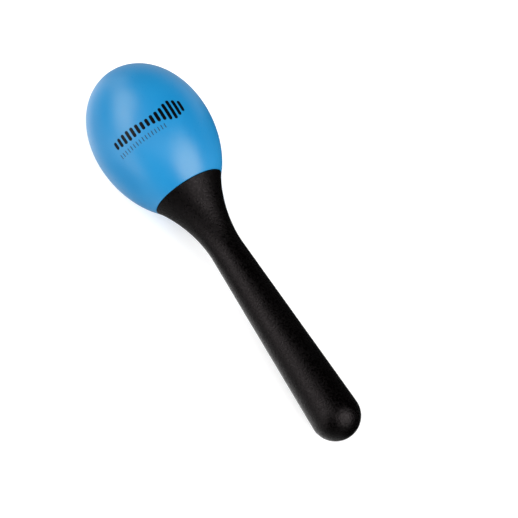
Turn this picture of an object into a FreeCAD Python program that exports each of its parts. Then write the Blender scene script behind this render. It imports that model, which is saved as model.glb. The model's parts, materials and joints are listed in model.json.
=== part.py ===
import FreeCAD, Part
import math
import os

# A hand shaker: a hollow egg of thin plastic with loose steel shot in it, on a flared hollow
# handle made of two half shells. Every piece is drawn standing on the handle's round butt, with
# the long axis on Z and the printed side towards +Y. Then all of them are laid down together on
# the table, touching it with the belly of the egg and with the butt. Lengths are in millimetres.

# Outside of the shaker
total_length = 201.3
head_diameter = 55.0
head_length = 66.5  # crown of the egg down to the seam with the handle
egg_half_length = 37.9  # half of the whole egg, whose lower pole would be inside the handle
egg_fullness = 0.056  # how much fuller the crown end is than the seam end
waist_diameter = 15.8
waist_height = 101.0  # butt up to where the flare starts
butt_diameter = 22.8
print_turn = 12.6  # degrees that the printed side is turned from straight up towards +Y
flare_seam_reach = 3.8  # how firmly the flare keeps the egg's slope below the seam
flare_waist_reach = 16.7  # how firmly it keeps the grip's slope above the waist
seam_edge_round = 0.25

# Head shell and its neck
head_wall = 1.8
seat_depth = 1.6  # how far the centring cone goes into the handle's mouth
bead_thickness = 1.8  # the ring round the end of the neck that the collar holds
bead_lip = 1.2  # how far the bead stands out from the neck
neck_room = 1.5  # free space between the bead and the handle's wall

# Handle
handle_wall = 2.0
collar_drop = 3.0  # seam down to the collar that goes round the neck
collar_thickness = 1.6
web_heights = (41.0, 80.0)
web_thickness = 1.5
web_width = 2.6
pin_heights = (20.0, 60.0, 98.0)
pin_diameter = 2.8
pin_length = 4.0
boss_wall = 1.4
socket_spare = 0.5  # how much deeper a socket is than its pin

# Stopper in the neck
plug_flange_thickness = 1.4
plug_wall = 1.3
plug_skirt_short = 0.4  # how far the stopper's top stays below the floor of the head

# Shot
shot_diameter = 4.0
shot_rings = 3  # rings of balls round the one in the middle
lane_gap = 0.4  # free space between neighbouring balls

# Clearances
seat_gap = 0.1  # centring cone in the handle's mouth
neck_gap = 0.1  # neck in the collar, and collar on the bead
plug_gap = 0.02  # stopper pushed into the neck
pin_gap = 0.1  # pin in its socket
shot_gap = 0.1  # ball off the wall of the head, at rest and at the top of its hop

spline_stations = 13
search_steps = 60
slope_step = 1e-5  # share of a curve over which its slope is taken
same_place = 1e-3  # heights or radii closer than this are the same
beyond = 60.0  # longer than any piece is wide, for tools that cut right through

# Heights and radii that follow from the sizes above
head_radius = head_diameter / 2
butt_radius = butt_diameter / 2
waist_radius = waist_diameter / 2
egg_middle = total_length - egg_half_length
seam_height = total_length - head_length
collar_top = seam_height - collar_drop
collar_bottom = collar_top - collar_thickness
bead_top = collar_bottom - neck_gap
neck_end = bead_top - bead_thickness
shot_radius = shot_diameter / 2
pin_radius = pin_diameter / 2


def spot(radius, height):
    """A point of a section that will be turned about the long axis."""
    return FreeCAD.Vector(radius, 0, height)


def egg_shape(angle, depth=0.0):
    """Radius and height on the egg at an angle from its crown, a depth under its surface.

    The radius is head_radius * sin(angle) * (1 + fullness * cos(angle)) / peak, and the height is
    the egg's middle + half length * cos(angle). The depth is taken along the surface's normal.
    """
    crest = 2 * egg_fullness / (1 + math.sqrt(1 + 8 * egg_fullness**2))
    peak = math.sqrt(1 - crest**2) * (1 + egg_fullness * crest)
    sine, cosine = math.sin(angle), math.cos(angle)
    fuller = 1 + egg_fullness * cosine
    radius = head_radius * sine * fuller / peak
    height = egg_middle + egg_half_length * cosine
    out_step = head_radius * (cosine * fuller - egg_fullness * sine**2) / peak
    down_step = egg_half_length * sine
    length = math.hypot(out_step, down_step)
    return radius - depth * down_step / length, height - depth * out_step / length


def egg_heading(angle):
    """Unit direction, as radius and height, in which the egg's outline runs away from the crown."""
    before, after = egg_shape(angle - slope_step), egg_shape(angle + slope_step)
    across, up = after[0] - before[0], after[1] - before[1]
    length = math.hypot(across, up)
    return across / length, up / length


seam_angle = math.acos((seam_height - egg_middle) / egg_half_length)
seam_radius = egg_shape(seam_angle)[0]
seam_heading = egg_heading(seam_angle)

# The grip is a cone that runs from the waist and touches the ball of the butt. touch_angle is the
# latitude on that ball where they meet, and also the cone's half angle.
waist_reach = math.hypot(waist_radius, waist_height - butt_radius)
touch_angle = math.atan2(waist_height - butt_radius, waist_radius) - math.acos(butt_radius / waist_reach)


def flare_poles():
    """The four poles, as radius and height, of the curve from the seam down to the waist."""
    return (
        (seam_radius, seam_height),
        (
            seam_radius + flare_seam_reach * seam_heading[0],
            seam_height + flare_seam_reach * seam_heading[1],
        ),
        (
            waist_radius - flare_waist_reach * math.sin(touch_angle),
            waist_height + flare_waist_reach * math.cos(touch_angle),
        ),
        (waist_radius, waist_height),
    )


def flare_shape(share, depth=0.0):
    """Radius and height on the flare, from 0 at the seam to 1 at the waist, a depth inside it."""
    first, second, third, fourth = flare_poles()
    rest = 1 - share
    place = []
    step = []
    for a, b, c, d in zip(first, second, third, fourth):
        place.append(rest**3 * a + 3 * rest**2 * share * b + 3 * rest * share**2 * c + share**3 * d)
        step.append(rest**2 * (b - a) + 2 * rest * share * (c - b) + share**2 * (d - c))
    length = math.hypot(step[0], step[1])
    return place[0] + depth * step[1] / length, place[1] - depth * step[0] / length


def share_at(shape, low, high, depth, height):
    """The parameter between low and high where a falling outline comes down to a height."""
    for _ in range(search_steps):
        middle = (low + high) / 2
        if shape(middle, depth)[1] > height:
            low = middle
        else:
            high = middle
    return (low + high) / 2


def smooth_edge(shape, start, end, depth):
    """One curve through a few stations of an outline, at a depth, with its own end slopes."""
    shares = [n / (spline_stations - 1) for n in range(spline_stations)]
    spots = [spot(*shape(start + (end - start) * share, depth)) for share in shares]
    second = spot(*shape(start + (end - start) * slope_step, depth))
    last_but_one = spot(*shape(end - (end - start) * slope_step, depth))
    curve = Part.BSplineCurve()
    curve.interpolate(
        Points=spots,
        Parameters=shares,
        InitialTangent=(second - spots[0]) / slope_step,
        FinalTangent=(spots[-1] - last_but_one) / slope_step,
        Scale=False,
    )
    return curve.toShape()


def straight_edges(*corners):
    """Straight edges through corners given as radius and height."""
    spots = [spot(*corner) for corner in corners]
    return [Part.makeLine(a, b) for a, b in zip(spots, spots[1:])]


def turned(edges, sweep=360):
    """The solid that a closed section makes when it turns about the long axis from +X."""
    face = Part.Face(Part.Wire(edges))
    solid = face.revolve(FreeCAD.Vector(0, 0, 0), FreeCAD.Vector(0, 0, 1), sweep)
    if solid.Volume < 0:
        solid.reverse()
    return solid


def ring(inner, outer, bottom, top, sweep=360):
    """A plain turned ring, or part of one."""
    corners = ((inner, bottom), (outer, bottom), (outer, top), (inner, top), (inner, bottom))
    return turned(straight_edges(*corners), sweep)


def handle_inside(height):
    """Radius of the handle's inner wall at a height in the flare."""
    share = share_at(flare_shape, 0, 1, handle_wall, height)
    return flare_shape(share, handle_wall)[0]


def rounded(solid, radius, height):
    """The solid with its sharp rim at a radius and height rounded by seam_edge_round."""
    rims = []
    for edge in solid.Edges:
        box = edge.BoundBox
        level = abs(box.ZMax - height) < same_place and abs(box.ZMin - height) < same_place
        if level and abs(box.XMax - radius) < same_place:
            rims.append(edge)
    return solid.makeFillet(seam_edge_round, rims)


bead_radius = handle_inside(neck_end) - neck_room
neck_radius = bead_radius - bead_lip
bore_radius = neck_radius - head_wall
seat_bottom = seam_height - seat_depth
head_floor = seat_bottom + head_wall


def make_head_shell():
    """The egg, its centring cone that sits in the handle's mouth, and its neck with a bead."""
    seat_top_radius = handle_inside(seam_height) - seat_gap
    seat_bottom_radius = handle_inside(seat_bottom) - seat_gap
    step_radius = seat_bottom_radius - head_wall
    ledge = seam_height + head_wall
    ledge_angle = share_at(egg_shape, 0, seam_angle, head_wall, ledge)
    outside = smooth_edge(egg_shape, 0, seam_angle, 0)
    inside = smooth_edge(egg_shape, ledge_angle, 0, head_wall)
    lower = straight_edges(
        (seam_radius, seam_height),
        (seat_top_radius, seam_height),
        (seat_bottom_radius, seat_bottom),
        (neck_radius, seat_bottom),
        (neck_radius, bead_top),
        (bead_radius, bead_top),
        (bead_radius, neck_end),
        (bore_radius, neck_end),
        (bore_radius, head_floor),
        (step_radius, head_floor),
        (step_radius, ledge),
        egg_shape(ledge_angle, head_wall),
    )
    crown = straight_edges((0, total_length - head_wall), (0, total_length))
    shell = turned([outside, *lower, inside, *crown])
    return rounded(shell, seam_radius, seam_height)


def make_neck_plug():
    """The stopper: a cup with a flange, pushed into the neck from below until the flange seats."""
    skirt_radius = bore_radius - plug_gap
    flange_radius = neck_radius
    flange_bottom = neck_end - plug_flange_thickness
    top = head_floor - plug_skirt_short
    hollow_radius = skirt_radius - plug_wall
    return turned(
        straight_edges(
            (hollow_radius, flange_bottom),
            (flange_radius, flange_bottom),
            (flange_radius, neck_end),
            (skirt_radius, neck_end),
            (skirt_radius, top),
            (0, top),
            (0, top - plug_wall),
            (hollow_radius, top - plug_wall),
            (hollow_radius, flange_bottom),
        )
    )


def grip_edges(depth, towards_waist):
    """The cone of the grip and the round butt at a depth inside the handle, either way round."""
    out, up = math.cos(touch_angle), math.sin(touch_angle)
    waist = (waist_radius - depth * out, waist_height - depth * up)
    radius = butt_radius - depth
    half_way = (touch_angle - math.pi / 2) / 2
    touch = (radius * out, butt_radius + radius * up)
    middle = (radius * math.cos(half_way), butt_radius + radius * math.sin(half_way))
    pole = (0, depth)
    if towards_waist:
        arc = Part.Arc(spot(*pole), spot(*middle), spot(*touch))
        return [arc.toShape(), *straight_edges(touch, waist)]
    arc = Part.Arc(spot(*touch), spot(*middle), spot(*pole))
    return [*straight_edges(waist, touch), arc.toShape()]


def make_handle_core(depth):
    """A solid filling the handle up to the seam, a depth inside its outer surface."""
    start = share_at(flare_shape, 0, 1, depth, seam_height)
    mouth_radius = flare_shape(start, depth)[0]
    flare = smooth_edge(flare_shape, start, 1, depth)
    axis = straight_edges((0, depth), (0, seam_height))
    mouth = straight_edges((0, seam_height), (mouth_radius, seam_height))
    return turned([flare, *grip_edges(depth, False), *axis, *mouth])


def make_half_wall():
    """Half of the handle's wall, on the +Y side: the wall's section turned half way round."""
    flare = Part.BezierCurve()
    flare.setPoles([spot(*pole) for pole in flare_poles()])
    start = share_at(flare_shape, 0, 1, handle_wall, seam_height)
    mouth_radius = flare_shape(start, handle_wall)[0]
    inside = smooth_edge(flare_shape, 1, start, handle_wall)
    butt = straight_edges((0, 0), (0, handle_wall))
    mouth = straight_edges((mouth_radius, seam_height), (seam_radius, seam_height))
    outer = [flare.toShape(), *grip_edges(0, False)]
    inner = [*grip_edges(handle_wall, True), inside]
    half = turned([*outer, *butt, *inner, *mouth], 180)
    return rounded(half, seam_radius, seam_height)


def make_half_ribs(core):
    """The collar round the neck and the stiffening webs of one half, up to the wall's middle."""
    collar = ring(neck_radius + neck_gap, beyond, collar_bottom, collar_top, 180)
    ribs = [collar.common(core)]
    for height in web_heights:
        web_top = height + web_thickness
        inner = grip_radius(height) - handle_wall - web_width
        ribs.append(ring(inner, beyond, height, web_top, 180).common(core))
    return ribs


def grip_radius(height):
    """Outside radius of the grip at a height between the butt's ball and the waist."""
    return waist_radius + (waist_height - height) * math.tan(touch_angle)


def along_y(radius, start, end, height):
    """A round bar along Y at a height."""
    return Part.makeCylinder(
        radius, end - start, FreeCAD.Vector(0, start, height), FreeCAD.Vector(0, 1, 0)
    )


def make_handle_front(core):
    """The half shell under the printed side, with the pins."""
    boss_radius = pin_radius + pin_gap + boss_wall
    half = make_half_wall()
    for rib in make_half_ribs(core):
        half = half.fuse(rib)
    for height in pin_heights:
        half = half.fuse(along_y(boss_radius, 0, beyond, height).common(core))
        half = half.fuse(along_y(pin_radius, -pin_length, boss_wall, height))
    return half.removeSplitter()


def make_handle_back(core):
    """The half shell that lies on the table, with a socket for each pin."""
    socket_radius = pin_radius + pin_gap
    turn = FreeCAD.Placement(FreeCAD.Vector(0, 0, 0), FreeCAD.Rotation(FreeCAD.Vector(0, 0, 1), 180))
    half = make_half_wall()
    for rib in make_half_ribs(core):
        half = half.fuse(rib)
    for height in pin_heights:
        half = half.fuse(along_y(socket_radius + boss_wall, 0, beyond, height).common(core))
    for height in pin_heights:
        half = half.cut(along_y(socket_radius, -1, pin_length + socket_spare, height))
    half = half.removeSplitter()
    half.Placement = turn
    return half


def belly_drop(slope):
    """How far the egg's belly is under the long axis' foot when the axis rises at a slope."""
    low, high = 0.0, math.pi
    for _ in range(search_steps):
        third = (high - low) / 3
        if belly_height(low + third, slope) < belly_height(high - third, slope):
            high -= third
        else:
            low += third
    return belly_height(low, slope), low


def belly_height(angle, slope):
    """Height of the egg's underside, over the foot of the long axis, at an angle from the crown."""
    radius, along = egg_shape(angle)
    return along * math.sin(slope) - radius * math.cos(slope)


def find_slope():
    """The slope at which the belly of the egg and the ball of the butt touch one level table."""
    low, high = 0.0, math.pi / 4
    for _ in range(search_steps):
        slope = (low + high) / 2
        butt_low = butt_radius * math.sin(slope) - butt_radius
        if belly_drop(slope)[0] < butt_low:
            low = slope
        else:
            high = slope
    return (low + high) / 2


lying_slope = find_slope()
rise, run = math.sin(lying_slope), math.cos(lying_slope)


def find_crown_reach():
    """How far the head reaches along the table from the foot of the long axis."""
    low, high = 0.0, math.pi / 2
    for _ in range(search_steps):
        third = (high - low) / 3
        reaches = []
        for angle in (low + third, high - third):
            radius, along = egg_shape(angle)
            reaches.append(along * run + radius * rise)
        if reaches[0] > reaches[1]:
            high -= third
        else:
            low += third
    radius, along = egg_shape(low)
    return along * run + radius * rise


# The foot of the long axis, at the butt, in the lying frame. The origin is on the table, half way
# between the ends of the shaker.
butt_reach = butt_radius * run - butt_radius
foot_x = -(find_crown_reach() + butt_reach) / 2
foot_z = butt_radius - butt_radius * rise


def laid_down(shape):
    """The shape turned from standing on Z to lying along +X, with +Y turned up and then aside."""
    lay = FreeCAD.Matrix(0, -rise, run, foot_x, 1, 0, 0, 0, 0, run, rise, foot_z, 0, 0, 0, 1)
    roll = FreeCAD.Rotation(FreeCAD.Vector(0, 0, 1), -print_turn)
    aside = FreeCAD.Placement(FreeCAD.Vector(0, 0, 0), roll)
    lying = shape.copy()
    lying.Placement = FreeCAD.Placement(lay).multiply(aside).multiply(shape.Placement)
    return lying


def outside_by(x, y, z):
    """How far a ball centred at a point of the lying frame is outside the space it can reach."""
    depth = head_wall + shot_gap + shot_radius
    along = (x - foot_x) * run + (z - foot_z) * rise
    across = (z - foot_z) * run - (x - foot_x) * rise
    angle = share_at(egg_shape, 0, math.pi, depth, along)
    return math.hypot(y, across) - egg_shape(angle, depth)[0]


def reach_wall(x, y, inside, outside):
    """The height between one inside the head and one outside it where a ball meets the wall."""
    for _ in range(search_steps):
        middle = (inside + outside) / 2
        if outside_by(x, y, middle) > 0:
            outside = middle
        else:
            inside = middle
    return inside


def shot_lanes():
    """Each ball's resting centre, as x, y and z, and how far it can hop straight up.

    The balls lie in a hexagon of rings over the lowest point of the head's inside. Each has an
    upright lane to itself, so that no two of them can meet however each one hops.
    """
    radius, along = egg_shape(belly_drop(lying_slope)[1])
    low_x = foot_x + along * run + radius * rise
    middle_z = foot_z + along * rise
    pitch = shot_diameter + lane_gap
    lanes = []
    for row in range(-shot_rings, shot_rings + 1):
        balls = 2 * shot_rings + 1 - abs(row)
        for place in range(balls):
            x = low_x + pitch * (place - (balls - 1) / 2)
            y = pitch * row * math.sqrt(3) / 2
            bottom = reach_wall(x, y, middle_z, middle_z - head_diameter)
            top = reach_wall(x, y, middle_z, middle_z + head_diameter)
            lanes.append((x, y, bottom, top - bottom))
    return lanes


def make_shot(x, y, z):
    """One steel ball."""
    return Part.makeSphere(shot_radius, FreeCAD.Vector(x, y, z))


def save(name, shape):
    """Writes one piece, already in its place, to its own file."""
    if not shape.isValid() or len(shape.Solids) != 1:
        raise ValueError(f"{name} isn't one sound solid")
    shape.Solids[0].exportStep(f"parts/{name}.step")


def main():
    os.makedirs("parts", exist_ok=True)
    core = make_handle_core(handle_wall / 2)
    save("head_shell", laid_down(make_head_shell()))
    save("neck_plug", laid_down(make_neck_plug()))
    save("handle_front", laid_down(make_handle_front(core)))
    save("handle_back", laid_down(make_handle_back(core)))
    for number, (x, y, z, _) in enumerate(shot_lanes(), start=1):
        save(f"shot_{number:02d}", make_shot(x, y, z))


main()
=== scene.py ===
import json
import math

import bmesh
import bpy
import numpy as np
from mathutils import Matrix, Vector


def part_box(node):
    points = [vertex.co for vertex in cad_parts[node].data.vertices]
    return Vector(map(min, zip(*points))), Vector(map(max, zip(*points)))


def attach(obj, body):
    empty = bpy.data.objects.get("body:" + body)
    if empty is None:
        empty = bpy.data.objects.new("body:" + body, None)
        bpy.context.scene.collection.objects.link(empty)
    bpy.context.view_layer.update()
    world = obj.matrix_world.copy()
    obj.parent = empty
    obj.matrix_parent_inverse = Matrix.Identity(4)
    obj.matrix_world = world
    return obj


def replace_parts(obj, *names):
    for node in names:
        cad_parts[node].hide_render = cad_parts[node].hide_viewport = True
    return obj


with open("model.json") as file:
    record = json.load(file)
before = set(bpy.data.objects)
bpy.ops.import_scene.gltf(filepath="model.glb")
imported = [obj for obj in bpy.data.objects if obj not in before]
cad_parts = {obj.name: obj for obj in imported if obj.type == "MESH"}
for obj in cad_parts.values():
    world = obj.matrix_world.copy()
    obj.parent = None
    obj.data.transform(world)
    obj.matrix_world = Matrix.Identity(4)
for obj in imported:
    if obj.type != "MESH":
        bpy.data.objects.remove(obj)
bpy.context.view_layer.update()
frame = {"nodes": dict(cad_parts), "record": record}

# A hand shaker that lies on a table: a satin egg of blue plastic with a printed band of sound-wave
# bars, on a flared handle of two black, grained half shells. Steel shot and a stopper are sealed
# inside. Lengths are in metres, and angles in radians except for the studio's.

# Outside of the shaker. Heights run along the long axis, from the butt of the handle.
total_length = 0.2013
head_radius = 0.0275
head_length = 0.0665
egg_half_length = 0.0379
egg_fullness = 0.056  # how much fuller the crown end is than the seam end
waist_radius = 0.0079
waist_height = 0.101
butt_radius = 0.0114
print_turn = math.radians(12.6)  # the printed side is turned this far from straight up towards +Y
flare_seam_reach = 0.0038
flare_waist_reach = 0.0167
seam_edge_round = 0.00025

# Head shell and its neck
head_wall = 0.0018
seat_depth = 0.0016
seat_gap = 0.0001
bead_thickness = 0.0018
bead_lip = 0.0012
neck_room = 0.0015
neck_gap = 0.0001

# Handle
handle_wall = 0.002
collar_drop = 0.003
collar_thickness = 0.0016
web_heights = (0.041, 0.080)
web_thickness = 0.0015
web_width = 0.0026
web_draft = 0.00004  # how far a web's or the collar's two sides lean
pin_heights = (0.020, 0.060, 0.098)
pin_radius = 0.0014
pin_length = 0.004
pin_gap = 0.0001
boss_wall = 0.0014
socket_spare = 0.0005
parting_edge = 0.00018  # round of the half shells' long edges, which makes the parting line
parting_edge_share = 0.3  # the most that this round is of the radius, near the end of the butt
corner_round = 0.0002  # round of the corners inside

# Print
ink_lift = 0.00003
ink_sink = 0.00004
bar_width = 0.0016
bar_pitch = 0.0026
bar_count = 15
bar_low = 0.0036
bar_swell = 0.0016
bars_shift = -0.0009  # middle of the row of bars, sideways from the middle of the printed side,
bars_rise = 0.0006  # and from the egg's middle towards the crown
ripple_length = 0.0057
crest_height = 0.0052
crest_width = 0.0046
crest_place = -0.0142  # sideways, as the first tick's is
tick_width = 0.00042
tick_pitch = 0.0017
tick_count = 16
tick_length = 0.0023
first_tick = 0.0184
ticks_drop = 0.0047  # from the egg's middle towards the seam
end_steps = 8  # round end of a bar
side_steps = 14
ring_size = np.array([0, 0.3, 0.6, 0.85, 0.95, 1, 1, 0.6, 0.3, 0])  # rings of a bar, from its middle
ring_lift = np.array([1, 1, 1, 1, 0.85, 0.4, 0, 0, 0, 0])  # and how high each stands

# Heights and radii that follow
egg_middle = total_length - egg_half_length
seam_height = total_length - head_length
collar_top = seam_height - collar_drop
collar_bottom = collar_top - collar_thickness
bead_top = collar_bottom - neck_gap
neck_end = bead_top - bead_thickness
seam_angle = math.acos((seam_height - egg_middle) / egg_half_length)
seat_bottom = seam_height - seat_depth
head_floor = seat_bottom + head_wall

# How finely the surfaces are divided
turn_steps = 192
boss_turn_steps = 48
egg_steps = 96
half_steps = 88  # round half of the handle
butt_steps = 26
grip_steps = 44
flare_steps = 40
round_steps = 4
round_share = 0.45  # the most of a run between two corners that one round takes
table_steps = 4000  # stations of an outline that is read at other heights
merge_reach = 2e-6
smallest = 1e-9  # stands for a radius of nothing where it divides
crease = math.radians(40)  # edges sharper than this stay sharp

# Studio. Azimuths run from +X towards +Y, and azimuths, elevations and widths are in degrees.
camera_azimuth, camera_elevation = 147.89, 64.62
camera_distance = 2.254
camera_aim = (-0.0014, -0.0150, 0.0)
focal_length = 347.5  # millimetres
sensor_width = 36.0  # millimetres
softboxes = (  # name, azimuth, elevation, width as seen from the shaker, strength
    ("key_softbox", 22, 42, 38, 1.25),
    ("key_softbox_wing", 62, 41, 34, 1.05),
    ("low_softbox", 90, 8, 44, 0.9),
    ("crown_softbox", 2, 12, 30, 0.3),
    ("side_softbox", -153, 35, 56, 3.4),
    ("top_softbox", 126, 70, 40, 0.3),
)
room_light = 0.44
room_gloss = 0.015  # what is left of the room's light in a reflection
table_reach = 30.0
white = (1.0, 1.0, 1.0, 1.0)


# ---- Where the shaker lies ----

def mount_axis():
    """Unit direction of the long axis, from the butt to the crown, as the record's grip mount has it."""
    mounts = {mount["name"]: mount for mount in frame["record"]["mounts"]}
    axis = np.array(mounts["waist_grip"]["axis"], float)
    return axis / np.linalg.norm(axis)


def butt_foot(axis):
    """The butt's lowest point of the long axis: the ball of the butt stands on the table, and its end
    is the lowest x of the two half shells."""
    low_x = min(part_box("handle_front")[0].x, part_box("handle_back")[0].x)
    return np.array([low_x + butt_radius, 0.0, butt_radius]) - butt_radius * axis


long_axis = mount_axis()
foot = butt_foot(long_axis)
level_side = np.array([0.0, 1.0, 0.0])
above = np.cross(long_axis, level_side)
printed_side = math.cos(print_turn) * above + math.sin(print_turn) * level_side
parting_side = math.cos(print_turn) * level_side - math.sin(print_turn) * above


def lying(outward, sideways, height):
    """Points of the lying shaker: the foot, plus the height along the long axis, plus the distance
    towards the printed side and the distance sideways, in the plane where the halves part."""
    parts = zip((outward, sideways, height), (printed_side, parting_side, long_axis))
    return foot + sum(np.asarray(amount)[..., None] * direction for amount, direction in parts)


# ---- Outlines ----

def egg_outline(angle, depth=0.0):
    """Radius and height on the egg at an angle from its crown, a depth under its surface.

    The radius is head_radius * sin(angle) * (1 + fullness * cos(angle)), over the largest value that
    this product reaches, and the height is the middle + half length * cos(angle). The depth goes
    along the surface's normal.
    """
    crest = 2 * egg_fullness / (1 + math.sqrt(1 + 8 * egg_fullness**2))
    peak = math.sqrt(1 - crest**2) * (1 + egg_fullness * crest)
    sine, cosine = np.sin(angle), np.cos(angle)
    fuller = 1 + egg_fullness * cosine
    out_step = head_radius * (cosine * fuller - egg_fullness * sine**2) / peak
    down_step = egg_half_length * sine
    length = np.hypot(out_step, down_step)
    radius = head_radius * sine * fuller / peak - depth * down_step / length
    return radius, egg_middle + egg_half_length * cosine - depth * out_step / length


def egg_normal(angle):
    """Outward direction, as radius and height, at an angle from the crown."""
    outer, inner = egg_outline(angle), egg_outline(angle, 1.0)
    return outer[0] - inner[0], outer[1] - inner[1]


# The grip is a cone that touches the ball of the butt; touch_angle is the latitude where it does
waist_reach = math.hypot(waist_radius, waist_height - butt_radius)
touch_angle = math.atan2(waist_height - butt_radius, waist_radius) - math.acos(butt_radius / waist_reach)
seam_radius = float(egg_outline(seam_angle)[0])


def flare_outline(share, depth=0.0):
    """Radius and height on the flare, from 0 at the seam to 1 at the waist, a depth inside it.

    A cubic curve with four poles: it leaves the seam along the egg's own slope and meets the waist
    along the grip's slope.
    """
    out, up = egg_normal(seam_angle)
    first = np.array([seam_radius, seam_height])
    fourth = np.array([waist_radius, waist_height])
    second = first + flare_seam_reach * np.array([up, -out])
    third = fourth + flare_waist_reach * np.array([-math.sin(touch_angle), math.cos(touch_angle)])
    s = np.asarray(share, float)[..., None]
    rest = 1 - s
    place = rest**3 * first + 3 * rest**2 * s * second + 3 * rest * s**2 * third + s**3 * fourth
    step = rest**2 * (second - first) + 2 * rest * s * (third - second) + s**2 * (fourth - third)
    step /= np.linalg.norm(step, axis=-1, keepdims=True)
    return place[..., 0] + depth * step[..., 1], place[..., 1] - depth * step[..., 0]


def share_at(outline, start, end, depth, height):
    """The parameter where a falling outline comes down to a height, read from a fine table."""
    shares = np.linspace(start, end, table_steps)
    heights = outline(shares, depth)[1]
    return np.interp(height, heights[::-1], shares[::-1])


def flare_inside(height):
    """Radius of the handle's inner wall at a height in the flare."""
    share = share_at(flare_outline, 0, 1, handle_wall, height)
    return flare_outline(share, handle_wall)[0]


bead_radius = flare_inside(neck_end) - neck_room
neck_radius = bead_radius - bead_lip


def grip_outside(height):
    """Radius of the grip's cone at a height."""
    return waist_radius + (waist_height - height) * math.tan(touch_angle)


def softened(corners, radius):
    """Corners given as radius and height, each replaced by a few points of a round.

    Each round runs between the two points that are the same distance from the corner. It is a
    quadratic curve with the corner as its middle pole. The ends stay.
    """
    points = np.array(corners, float)
    before, after = points[:-2] - points[1:-1], points[2:] - points[1:-1]
    middle = points[1:-1]
    run_before = np.linalg.norm(before, axis=1, keepdims=True)
    run_after = np.linalg.norm(after, axis=1, keepdims=True)
    reach = np.minimum(np.minimum(run_before, run_after) * round_share, radius)
    start = middle + before / run_before * reach
    end = middle + after / run_after * reach
    t = np.linspace(0, 1, round_steps + 1)[None, :, None]
    rounds = (1 - t) ** 2 * start[:, None] + 2 * t * (1 - t) * middle[:, None] + t**2 * end[:, None]
    return np.concatenate([points[:1], rounds.reshape(-1, 2), points[-1:]])


def arc(centre, start, end, radius):
    """Points of an arc in the plane of radius and height, between two directions."""
    angles = np.linspace(start, end, round_steps + 1)
    return np.stack([centre[0] + radius * np.cos(angles), centre[1] + radius * np.sin(angles)], -1)


# ---- Meshes ----

def grid_faces(rows, columns):
    """Four-sided faces between neighbouring rows and columns of a grid of points, whose last column
    joins the first."""
    number = np.arange(rows * columns).reshape(rows, columns)
    number = np.concatenate([number, number[:, :1]], axis=1)
    faces = (number[:-1, :-1], number[:-1, 1:], number[1:, 1:], number[1:, :-1])
    return np.stack(faces, -1).reshape(-1, 4)


def make_piece(name, grids, material, body):
    """One object from several grids of points, each closed round its second direction.

    Points that fall together, as at a pole, are merged, so that every surface is closed, and the
    faces are then turned outwards.
    """
    places, faces, count = [], [], 0
    for grid in grids:
        rows, columns = grid.shape[:2]
        places.append(grid.reshape(-1, 3))
        faces.append(grid_faces(rows, columns) + count)
        count += rows * columns
    mesh = bpy.data.meshes.new(name)
    mesh.from_pydata(np.concatenate(places).tolist(), [], np.concatenate(faces).tolist())
    shape = bmesh.new()
    shape.from_mesh(mesh)
    bmesh.ops.remove_doubles(shape, verts=shape.verts, dist=merge_reach)
    bmesh.ops.recalc_face_normals(shape, faces=shape.faces)
    shape.to_mesh(mesh)
    shape.free()
    mesh.polygons.foreach_set("use_smooth", np.ones(len(mesh.polygons), bool))
    mesh.set_sharp_from_angle(angle=crease)
    mesh.materials.append(material)
    piece = bpy.data.objects.new(name, mesh)
    bpy.context.scene.collection.objects.link(piece)
    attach(piece, body)
    return piece


def turned(outline):
    """An outline of radii and heights carried once round the long axis."""
    angles = np.arange(turn_steps) * 2 * math.pi / turn_steps
    radius, height = outline[:, :1], outline[:, 1:]
    return lying(radius * np.cos(angles), radius * np.sin(angles), height + 0 * angles)


def turned_across(outline, height):
    """An outline of radii and outward distances carried round a line that runs outwards, towards the
    printed side, from the long axis at a height."""
    angles = np.arange(boss_turn_steps) * 2 * math.pi / boss_turn_steps
    radius, outward = outline[:, :1], outline[:, 1:]
    return lying(outward + 0 * angles, radius * np.cos(angles), height + radius * np.sin(angles))


# ---- Head ----

def head_outline():
    """The head's whole section, from the crown's outside to its inside.

    Outside: the egg down to the seam, with a small round. Then the seat, the centring cone, the neck
    with its bead and the bore, and back up inside, at the wall's depth.
    """
    edge_angle = share_at(egg_outline, 0, seam_angle, seam_edge_round, seam_height + seam_edge_round)
    edge_middle = egg_outline(edge_angle, seam_edge_round)
    out, up = egg_normal(edge_angle)
    outside = np.stack(egg_outline(np.linspace(0, edge_angle, egg_steps)), -1)
    edge = arc(edge_middle, math.atan2(up, out), -math.pi / 2, seam_edge_round)[1:]
    cone_top = flare_inside(seam_height) - seat_gap
    cone_bottom = flare_inside(seat_bottom) - seat_gap
    bore_radius = neck_radius - head_wall
    ledge = seam_height + head_wall
    ledge_angle = share_at(egg_outline, 0, seam_angle, head_wall, ledge)
    inner = np.stack(egg_outline(np.linspace(ledge_angle, 0, egg_steps), head_wall), -1)
    lower = softened(
        [
            edge[-1],
            (cone_top, seam_height),
            (cone_bottom, seat_bottom),
            (neck_radius, seat_bottom),
            (neck_radius, bead_top),
            (bead_radius, bead_top),
            (bead_radius, neck_end),
            (bore_radius, neck_end),
            (bore_radius, head_floor),
            (cone_bottom - head_wall, head_floor),
            (cone_bottom - head_wall, ledge),
            inner[0],
        ],
        corner_round,
    )
    return np.concatenate([outside, edge, lower[1:], inner[1:]])


# ---- Handle ----

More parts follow.
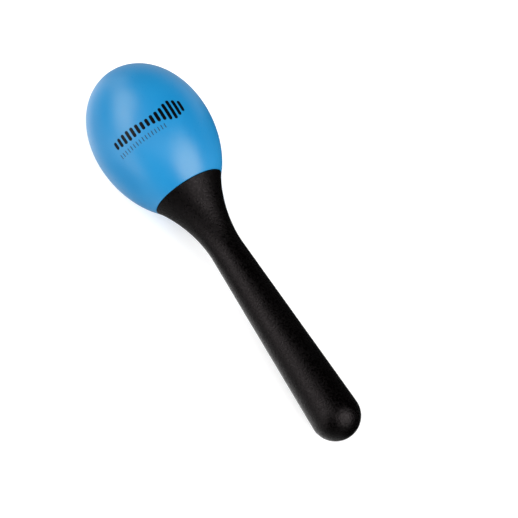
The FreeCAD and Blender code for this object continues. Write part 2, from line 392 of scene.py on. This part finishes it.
def handle_stations():
    """The handle's outer and inner skin at stations from the butt up to the seam.

    Each station is an outer radius and height and an inner radius and height. The butt is two balls
    round one centre, the grip a cone, and the flare the cubic curve with the wall's depth inside it.
    The webs and the collar stand in from the inner skin. The lip at the seam is rounded, and the last
    station brings both skins together in the middle of the lip's face, which closes it.
    """
    latitude = np.linspace(-math.pi / 2, touch_angle, butt_steps)
    ball = [
        butt_radius * np.cos(latitude),
        butt_radius + butt_radius * np.sin(latitude),
        (butt_radius - handle_wall) * np.cos(latitude),
        butt_radius + (butt_radius - handle_wall) * np.sin(latitude),
    ]
    rib_ends = [(low, low + web_thickness) for low in web_heights]
    ribs = np.array([(low, low + web_draft, high - web_draft, high) for low, high in rib_ends]).ravel()
    grip_height = np.unique(np.concatenate([
        np.linspace(ball[1][-1], waist_height, grip_steps)[1:],
        ribs,
    ]))
    grip_inner = grip_outside(grip_height) - handle_wall / math.cos(touch_angle)
    in_web = np.zeros(len(grip_height), bool)
    for low, high in rib_ends:
        in_web |= (grip_height > low + web_draft / 2) & (grip_height < high - web_draft / 2)
    grip = [grip_outside(grip_height), grip_height, grip_inner - web_width * in_web, grip_height]

    lip_share = share_at(flare_outline, 0, 1, seam_edge_round, seam_height - seam_edge_round)
    collar = (collar_bottom, collar_bottom + web_draft, collar_top - web_draft, collar_top)
    collar_shares = [share_at(flare_outline, 0, 1, 0, height) for height in collar]
    shares = np.sort(np.concatenate([np.linspace(1, lip_share, flare_steps)[1:], collar_shares]))[::-1]
    outer_radius, outer_height = flare_outline(shares)
    inner_radius = flare_inside(np.minimum(outer_height, seam_height))
    over_bottom = outer_height > collar_bottom + web_draft / 2
    in_collar = over_bottom & (outer_height < collar_top - web_draft / 2)
    inner_radius = np.where(in_collar, neck_radius + neck_gap, inner_radius)
    flare = [outer_radius, outer_height, inner_radius, outer_height]

    lip_middle = flare_outline(lip_share, seam_edge_round)
    lip_place = flare_outline(lip_share)
    slope = math.atan2(lip_place[1] - lip_middle[1], lip_place[0] - lip_middle[0])
    lip = arc(lip_middle, slope, math.pi / 2, seam_edge_round)[1:]
    lip_inner = flare_inside(lip[:, 1])
    middle = (lip[-1, 0] + lip_inner[-1]) / 2
    lip = [
        np.append(lip[:, 0], middle),
        np.append(lip[:, 1], seam_height),
        np.append(lip_inner, middle),
        np.append(lip[:, 1], seam_height),
    ]
    return [np.concatenate(columns)[:, None] for columns in zip(ball, grip, flare, lip)]


def half_shell(towards):
    """One half of the handle's wall, towards the printed side for 1 or away from it for -1.

    At each station the outer skin is half a circle whose two ends turn in, with a round, to the plane
    where the halves part. The inner skin is half a circle back to the start. At the last station both
    are the same line.
    """
    outer_radius, outer_height, inner_radius, inner_height = handle_stations()
    edge = np.minimum(parting_edge, parting_edge_share * outer_radius)
    lean = np.arcsin(edge / np.maximum(outer_radius - edge, smallest))
    across = np.linspace(-1, 1, half_steps + 1)[None, :]
    skin_angle = across * (math.pi / 2 - lean)
    arc_out, arc_side = outer_radius * np.cos(skin_angle), outer_radius * np.sin(skin_angle)
    bend = np.linspace(0, 1, round_steps + 1)[None, 1:]
    bend_angle = lean - bend * (lean + math.pi / 2)
    middle_side = (outer_radius - edge) * np.cos(lean)
    bend_out = edge + edge * np.sin(bend_angle)
    bend_side = middle_side + edge * np.cos(bend_angle)
    out = np.concatenate([bend_out[:, ::-1], arc_out, bend_out], axis=1)
    side = np.concatenate([-bend_side[:, ::-1], arc_side, bend_side], axis=1)
    inner_angle = np.arctan2(side[-1], out[-1])[None, ::-1]
    inner_out, inner_side = inner_radius * np.cos(inner_angle), inner_radius * np.sin(inner_angle)
    inner_out[-1], inner_side[-1] = out[-1, ::-1], side[-1, ::-1]
    out = np.concatenate([out, inner_out], axis=1)
    side = np.concatenate([side, inner_side], axis=1)
    outer_heights = np.repeat(outer_height, side.shape[1] // 2, axis=1)
    inner_heights = np.repeat(inner_height, side.shape[1] // 2, axis=1)
    return lying(towards * out, side, np.concatenate([outer_heights, inner_heights], axis=1))


def boss_root(height):
    """How far out a boss runs: half way into the handle's wall at its height."""
    return grip_outside(height) - handle_wall / 2


def pin(height):
    """A pin on its boss, which runs out into the front half's wall."""
    boss_radius = pin_radius + pin_gap + boss_wall
    corners = [
        (0, -pin_length),
        (pin_radius, -pin_length),
        (pin_radius, 0),
        (boss_radius, 0),
        (boss_radius, boss_root(height)),
        (0, boss_root(height)),
    ]
    return turned_across(softened(corners, corner_round), height)


def socket(height):
    """A boss of the back half with the blind hole that takes a pin."""
    socket_radius = pin_radius + pin_gap
    boss_radius = socket_radius + boss_wall
    depth = -(pin_length + socket_spare)
    corners = [
        (0, depth),
        (socket_radius, depth),
        (socket_radius, 0),
        (boss_radius, 0),
        (boss_radius, -boss_root(height)),
        (0, -boss_root(height)),
    ]
    return turned_across(softened(corners, corner_round), height)


# ---- Print ----

def on_head(across, height, lift):
    """Points on the head: across is the arc from the middle of the print, at the egg's widest, and
    lift is how far they stand off the surface."""
    angle_down = np.arccos((height - egg_middle) / egg_half_length)
    radius, along = egg_outline(angle_down, -lift)
    angle = across / head_radius
    return lying(radius * np.cos(angle), radius * np.sin(angle), along)


def printed_row(across, length, width, height):
    """A row of thin bars of ink with round ends, one grid for each.

    A bar's outline is a circle of its width, cut in two, pulled apart along the long axis and joined
    by straight sides. Rings of that outline, smaller towards the middle, make its top; the outer ones
    go over the edge and the last ones close it under the head's surface.
    """
    turn = np.linspace(0, math.pi, end_steps + 1)
    side = np.linspace(1, -1, side_steps + 1)[1:-1]
    x = np.concatenate([np.cos(turn), 0 * side - 1, -np.cos(turn), 0 * side + 1])
    round_y = np.concatenate([np.sin(turn), 0 * side, -np.sin(turn), 0 * side])
    straight_y = np.concatenate([0 * turn + 1, side, 0 * turn - 1, -side])
    lift = ring_lift[:, None] * (ink_lift + ink_sink) - ink_sink + 0 * x
    grids = []
    for middle, reach in zip(across, length):
        y = round_y * width / 2 + straight_y * (reach - width) / 2
        ring_x, ring_y = ring_size[:, None] * x * width / 2, ring_size[:, None] * y
        grids.append(on_head(middle + ring_x, height + ring_y, lift))
    return grids


def wave_bars():
    """Middles and lengths of the bars: a least length, plus a gentle ripple, which is a sine without
    its sign, plus a tall crest near the end at -Y, which is a bell curve."""
    across = (np.arange(bar_count) - (bar_count - 1) / 2) * bar_pitch + bars_shift
    ripple = bar_low + bar_swell * np.abs(np.sin(across / ripple_length))
    crest = crest_height * np.exp(-(((across - crest_place) / crest_width) ** 2))
    return across, ripple + crest


# ---- Materials ----

def new_material(name):
    """A material with its shader, its node tree and the shader's inputs."""
    material = bpy.data.materials.new(name)
    material.use_nodes = True
    nodes = material.node_tree.nodes
    return material, material.node_tree, nodes["Principled BSDF"].inputs


def add(tree, kind, settings=None, numbered=None, **named):
    """A node with its settings, and the values or links of its inputs by number and by name."""
    node = tree.nodes.new(kind)
    for key, value in (settings or {}).items():
        setattr(node, key, value)
    for number, value in (numbered or {}).items():
        wire(tree, node.inputs[number], value)
    for name, value in named.items():
        wire(tree, node.inputs[name.replace("_", " ")], value)
    return node


def wire(tree, socket, value):
    """Sets a socket's value, or links it if the value is another node's output."""
    if isinstance(value, bpy.types.NodeSocket):
        tree.links.new(value, socket)
    else:
        socket.default_value = value


def maths(tree, operation, first, second):
    """The output of a Math node."""
    return add(tree, "ShaderNodeMath", {"operation": operation}, {0: first, 1: second}).outputs[0]


def spread(tree, value, low, high, to_low, to_high):
    """The output of a smooth Map Range node: low to high becomes to_low to to_high."""
    node = add(
        tree, "ShaderNodeMapRange", {"interpolation_type": "SMOOTHSTEP"},
        Value=value, From_Min=low, From_Max=high, To_Min=to_low, To_Max=to_high,
    )
    return node.outputs["Result"]


def mixed(tree, share, first, second):
    """The colour between two, given as red, green and blue, at a share of the way."""
    colours = {0: share, 6: (*first, 1.0), 7: (*second, 1.0)}
    return add(tree, "ShaderNodeMix", {"data_type": "RGBA"}, colours).outputs[2]


def chosen(tree, share, first, second):
    """The first shader where the share is 0 and the second where it is 1."""
    return add(tree, "ShaderNodeMixShader", None, {0: share, 1: first, 2: second}).outputs[0]


def new_group(name, inputs, outputs):
    """An empty node group with named number inputs and outputs, and its two end nodes."""
    group = bpy.data.node_groups.new(name, "ShaderNodeTree")
    for label, value in inputs.items():
        made = group.interface.new_socket(name=label, in_out="INPUT", socket_type="NodeSocketFloat")
        made.default_value = value
    for label in outputs:
        group.interface.new_socket(name=label, in_out="OUTPUT", socket_type="NodeSocketFloat")
    return group, group.nodes.new("NodeGroupInput"), group.nodes.new("NodeGroupOutput")


def object_place(tree):
    """Where a point is, in the piece's own coordinates."""
    return tree.nodes.new("ShaderNodeTexCoord").outputs["Object"]


def build_mould_grain():
    """Spark-eroded grain of a mould: shallow round craters with a grit on them, which is finer by
    grit_fineness."""
    grit_fineness = 2.3
    group, given, result = new_group("mould_grain", {"Craters per metre": 1500, "Grit": 0.4}, ["Height"])
    place, pitch = object_place(group), given.outputs["Craters per metre"]
    crater = add(
        group, "ShaderNodeTexVoronoi", {"feature": "SMOOTH_F1"},
        Vector=place, Scale=pitch, Smoothness=0.7,
    )
    finer = maths(group, "MULTIPLY", pitch, grit_fineness)
    grit = add(group, "ShaderNodeTexNoise", Vector=place, Scale=finer, Detail=3.0, Roughness=0.6)
    gritty = maths(group, "MULTIPLY", grit.outputs["Fac"], given.outputs["Grit"])
    wire(group, result.inputs["Height"], maths(group, "ADD", crater.outputs["Distance"], gritty))
    return group


def build_melt_mottle():
    """Slow, soft differences of shade, as the melt leaves in a moulding."""
    group, given, result = new_group("melt_mottle", {"Patches per metre": 60}, ["Shade"])
    cloud = add(
        group, "ShaderNodeTexNoise",
        Vector=object_place(group), Scale=given.outputs["Patches per metre"], Detail=4.0, Roughness=0.55,
    )
    wire(group, result.inputs["Shade"], spread(group, cloud.outputs["Fac"], 0.3, 0.7, 0.0, 1.0))
    return group


def build_hairlines():
    """Fine scratches in two directions: noise drawn out into threads, of which only the crests count,
    and only in patches."""
    scratch_turns = ((0.3, 0.2, 0.9), (-0.5, 0.4, -0.6))
    thread_scale = (45.0, 2600.0, 2600.0)  # along a thread and across it, per metre
    group, given, result = new_group("hairlines", {"Amount": 0.5}, ["Mask"])
    place = object_place(group)
    masks = []
    for turn in scratch_turns:
        drawn = add(group, "ShaderNodeMapping", Vector=place, Rotation=turn, Scale=thread_scale)
        threads = add(group, "ShaderNodeTexNoise", Vector=drawn.outputs["Vector"], Scale=1.0, Detail=1.0)
        masks.append(spread(group, threads.outputs["Fac"], 0.70, 0.78, 0.0, 1.0))
    patches = add(group, "ShaderNodeTexNoise", Vector=place, Scale=70.0, Detail=2.0)
    where = spread(group, patches.outputs["Fac"], 0.45, 0.65, 0.0, 1.0)
    lines = maths(group, "MULTIPLY", maths(group, "MAXIMUM", masks[0], masks[1]), where)
    wire(group, result.inputs["Mask"], maths(group, "MULTIPLY", lines, given.outputs["Amount"]))
    return group


effects = {
    "mould_grain": build_mould_grain(),
    "melt_mottle": build_melt_mottle(),
    "hairlines": build_hairlines(),
}


def effect(tree, name, **inputs):
    """The output of a shared effect, placed in a material's tree with its own values."""
    return add(tree, "ShaderNodeGroup", {"node_tree": effects[name]}, **inputs).outputs[0]


def bump(tree, height, distance):
    """The normal of a Bump node; distance is the height's real size in metres."""
    return add(tree, "ShaderNodeBump", Height=height, Distance=distance).outputs["Normal"]


def satin_blue():
    """The head: blue plastic with a satin skin, faint melt clouds, orange peel and hairlines."""
    material, tree, shader = new_material("satin_blue_plastic")
    cloud = effect(tree, "melt_mottle", Patches_per_metre=48.0)
    lines = effect(tree, "hairlines", Amount=0.5)
    peel = effect(tree, "mould_grain", Craters_per_metre=900.0, Grit=0.5)
    blue = mixed(tree, cloud, (0.0006, 0.171, 0.394), (0.0014, 0.183, 0.412))
    wire(tree, shader["Base Color"], blue)
    wire(tree, shader["Roughness"], maths(tree, "ADD", spread(tree, cloud, 0, 1, 0.33, 0.37), lines))
    wire(tree, shader["Normal"], bump(tree, peel, 0.000006))
    shader["Specular IOR Level"].default_value = 0.56
    shader["Specular Tint"].default_value = (1.0, 0.90, 0.56, 1.0)
    return material


def grained_black():
    """The handle: black plastic with a spark-eroded grain that speckles its gloss. The grip is a
    little smoother than the flare, where no hand rubs it."""
    material, tree, shader = new_material("grained_black_plastic")
    cloud = effect(tree, "melt_mottle", Patches_per_metre=90.0)
    grain = effect(tree, "mould_grain", Craters_per_metre=1000.0, Grit=1.4)
    black = mixed(tree, cloud, (0.0002, 0.0001, 0.0001), (0.0004, 0.0003, 0.0003))
    wire(tree, shader["Base Color"], black)
    along = add(tree, "ShaderNodeSeparateXYZ", Vector=object_place(tree)).outputs["X"]
    unworn = spread(tree, along, 0.0, 0.025, 0.0, 0.15)
    handled = maths(tree, "ADD", spread(tree, cloud, 0, 1, 0.19, 0.24), unworn)
    speckle = spread(tree, grain, 0.9, 1.3, -0.09, 0.14)
    wire(tree, shader["Roughness"], maths(tree, "ADD", handled, speckle))
    wire(tree, shader["Normal"], bump(tree, grain, 0.00010))
    shader["Specular IOR Level"].default_value = 0.155
    shader["Specular Tint"].default_value = (1.0, 0.88, 0.90, 1.0)
    return material


def milky_plug():
    """The stopper: natural, milky plastic."""
    material, tree, shader = new_material("milky_plastic")
    cloud = effect(tree, "melt_mottle", Patches_per_metre=150.0)
    grain = effect(tree, "mould_grain", Craters_per_metre=2600.0, Grit=0.3)
    wire(tree, shader["Base Color"], mixed(tree, cloud, (0.70, 0.70, 0.66), (0.78, 0.78, 0.75)))
    wire(tree, shader["Roughness"], spread(tree, cloud, 0, 1, 0.40, 0.52))
    wire(tree, shader["Normal"], bump(tree, grain, 0.00001))
    return material


def tumbled_steel():
    """The shot: steel balls with a tumbled skin and fine marks from each other."""
    material, tree, shader = new_material("tumbled_steel")
    cloud = effect(tree, "melt_mottle", Patches_per_metre=500.0)
    lines = effect(tree, "hairlines", Amount=0.6)
    grain = effect(tree, "mould_grain", Craters_per_metre=6000.0, Grit=0.4)
    wire(tree, shader["Base Color"], mixed(tree, cloud, (0.50, 0.50, 0.52), (0.62, 0.62, 0.63)))
    wire(tree, shader["Roughness"], maths(tree, "ADD", spread(tree, cloud, 0, 1, 0.20, 0.30), lines))
    wire(tree, shader["Normal"], bump(tree, grain, 0.000004))
    shader["Metallic"].default_value = 1.0
    return material


def ink(name, thin, full):
    """Printed ink between two shades, thinner in small patches, with the screen's faint grain."""
    material, tree, shader = new_material(name)
    cloud = effect(tree, "melt_mottle", Patches_per_metre=1100.0)
    grain = effect(tree, "mould_grain", Craters_per_metre=4000.0, Grit=0.5)
    wire(tree, shader["Base Color"], mixed(tree, cloud, thin, full))
    wire(tree, shader["Roughness"], spread(tree, cloud, 0, 1, 0.30, 0.38))
    wire(tree, shader["Normal"], bump(tree, grain, 0.000005))
    shader["Specular IOR Level"].default_value = 0.12
    return material


# ---- Stage ----

def painted_table_reflection(tree):
    """Painted reflection of the table: an emission that only the shaker's gloss sees. It is a strip
    along the shaker on its +Y side, which fades towards both sides and past the butt. It is painted
    dimmer under the flare as the head's shadow, and painted brighter beside the head, where more is
    added by the crown."""
    place = add(tree, "ShaderNodeSeparateXYZ", Vector=object_place(tree)).outputs
    near_side = spread(tree, place["Y"], -0.004, 0.014, 0.05, 1.2)
    past_near = spread(tree, place["Y"], 0.045, 0.080, 1.0, 0.25)
    past_far = spread(tree, place["Y"], -0.080, -0.045, 0.04, 1.0)
    past_butt = spread(tree, place["X"], -0.115, -0.085, 0.25, 1.0)
    # Painted shadow of the head in the reflection, then painted light beside the head and by the crown
    painted_shadow_under_flare = spread(tree, place["X"], 0.005, 0.030, 1.0, 0.30)
    painted_light_beside_head = spread(tree, place["X"], 0.040, 0.065, 1.0, 2.2)
    painted_light_by_crown = spread(tree, place["X"], 0.070, 0.100, 0.0, 0.5)
    glow = near_side
    for share in (past_near, past_far, past_butt, painted_shadow_under_flare, painted_light_beside_head):
        glow = maths(tree, "MULTIPLY", glow, share)
    return maths(tree, "ADD", glow, painted_light_by_crown)


def make_floor():
    """A wide, plain, pale table, evenly bright, which shows in the shaker's gloss only as a painted
    reflection.
    """
    mesh = bpy.data.meshes.new("table_top")
    corners = [(x * table_reach, y * table_reach, 0) for x, y in ((-1, -1), (1, -1), (1, 1), (-1, 1))]
    mesh.from_pydata(corners, [], [(0, 1, 2, 3)])
    material, tree, shader = new_material("pale_table")
    shader["Base Color"].default_value = (0.88, 0.88, 0.88, 1.0)
    shader["Roughness"].default_value = 0.9
    shader["Specular IOR Level"].default_value = 0.1
    shader["Emission Color"].default_value = white
    shader["Emission Strength"].default_value = 0.2
    surface = tree.nodes["Principled BSDF"].outputs[0]
    # What glossy rays see of the table is this painted reflection, not its lit surface
    painted_reflection = add(tree, "ShaderNodeEmission", Color=white, Strength=painted_table_reflection(tree)).outputs[0]
    glossy = tree.nodes.new("ShaderNodeLightPath").outputs["Is Glossy Ray"]
    wire(tree, tree.nodes["Material Output"].inputs["Surface"], chosen(tree, glossy, surface, painted_reflection))
    mesh.materials.append(material)
    floor = bpy.data.objects.new("table_top", mesh)
    bpy.context.scene.collection.objects.link(floor)


def towards(azimuth, elevation):
    """Unit direction from the object to a place at an azimuth from +X towards +Y and an elevation,
    both in degrees."""
    azimuth, elevation = math.radians(azimuth), math.radians(elevation)
    return Vector((
        math.cos(elevation) * math.cos(azimuth),
        math.cos(elevation) * math.sin(azimuth),
        math.sin(elevation),
    ))


def aimed(name, data, direction, target=Vector((0, 0, 0)), distance=1.0):
    """An object placed in a direction and at a distance from a target, and turned to face it."""
    holder = bpy.data.objects.new(name, data)
    holder.location = target + direction * distance
    holder.rotation_euler = (-direction).to_track_quat("-Z", "Y").to_euler()
    bpy.context.scene.collection.objects.link(holder)
    return holder


def make_softbox(name, azimuth, elevation, width, strength):
    """A far, round softbox, which lights the whole table evenly."""
    lamp = bpy.data.lights.new(name, "SUN")
    lamp.energy = strength
    lamp.angle = math.radians(width)
    aimed(name, lamp, towards(azimuth, elevation))


def make_world():
    """A room that is dim where it reflects, and looks white past the edge of the table."""
    world = bpy.data.worlds.new("studio")
    world.use_nodes = True
    tree = world.node_tree
    ray = tree.nodes.new("ShaderNodeLightPath").outputs
    dim = spread(tree, ray["Is Glossy Ray"], 0, 1, room_light, room_gloss)
    room = tree.nodes["Background"]
    wire(tree, room.inputs["Strength"], dim)
    wire(tree, room.inputs["Color"], white)
    backdrop = add(tree, "ShaderNodeBackground", Color=white, Strength=1.0).outputs[0]
    seen = chosen(tree, ray["Is Camera Ray"], room.outputs[0], backdrop)
    wire(tree, tree.nodes["World Output"].inputs["Surface"], seen)
    bpy.context.scene.world = world


def make_camera():
    """A very long lens, high over the butt end and to the +Y side."""
    lens = bpy.data.cameras.new("long_lens")
    lens.sensor_width = sensor_width
    lens.lens = focal_length
    lens.clip_start, lens.clip_end = 0.1, 100.0
    direction = towards(camera_azimuth, camera_elevation)
    bpy.context.scene.camera = aimed("long_lens", lens, direction, Vector(camera_aim), camera_distance)


# ---- The shaker ----

def make_head():
    """The hollow egg with its neck, in one piece."""
    head = make_piece("head", [turned(head_outline())], satin_blue(), "shaker")
    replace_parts(head, "head_shell")


def make_handle():
    """The two half shells, with the pins in the front one and their sockets in the back one."""
    black = grained_black()
    front = [half_shell(1), *(pin(height) for height in pin_heights)]
    back = [half_shell(-1), *(socket(height) for height in pin_heights)]
    for name, node, grids in (("grip_front", "handle_front", front), ("grip_back", "handle_back", back)):
        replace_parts(make_piece(name, grids, black, "shaker"), node)


def make_print():
    """Two rows of ink on the head: sound-wave bars, and thin ticks under them."""
    black = ink("black_ink", (0.0014, 0.0014, 0.0018), (0.0006, 0.0006, 0.0008))
    grey = ink("grey_ink", (0.030, 0.060, 0.095), (0.018, 0.035, 0.055))
    across, lengths = wave_bars()
    bars = printed_row(across, lengths, bar_width, egg_middle + bars_rise)
    make_piece("wave_bars", bars, black, "shaker")
    ticks_across = first_tick - np.arange(tick_count) * tick_pitch
    tick_lengths = np.full(tick_count, tick_length)
    ticks = printed_row(ticks_across, tick_lengths, tick_width, egg_middle - ticks_drop)
    make_piece("wave_ticks", ticks, grey, "shaker")


def finish_inside():
    """Finishes of the stopper and the shot, whose shapes stay as they are."""
    finishes = {"neck_plug": milky_plug()}
    steel = tumbled_steel()
    finishes.update({name: steel for name in frame["nodes"] if name.startswith("shot_")})
    for name, material in finishes.items():
        mesh = frame["nodes"][name].data
        mesh.materials.clear()
        mesh.materials.append(material)


make_head()
make_handle()
make_print()
finish_inside()
make_floor()
make_world()
for softbox in softboxes:
    make_softbox(*softbox)
make_camera()
bpy.context.scene.view_settings.view_transform = "Standard"
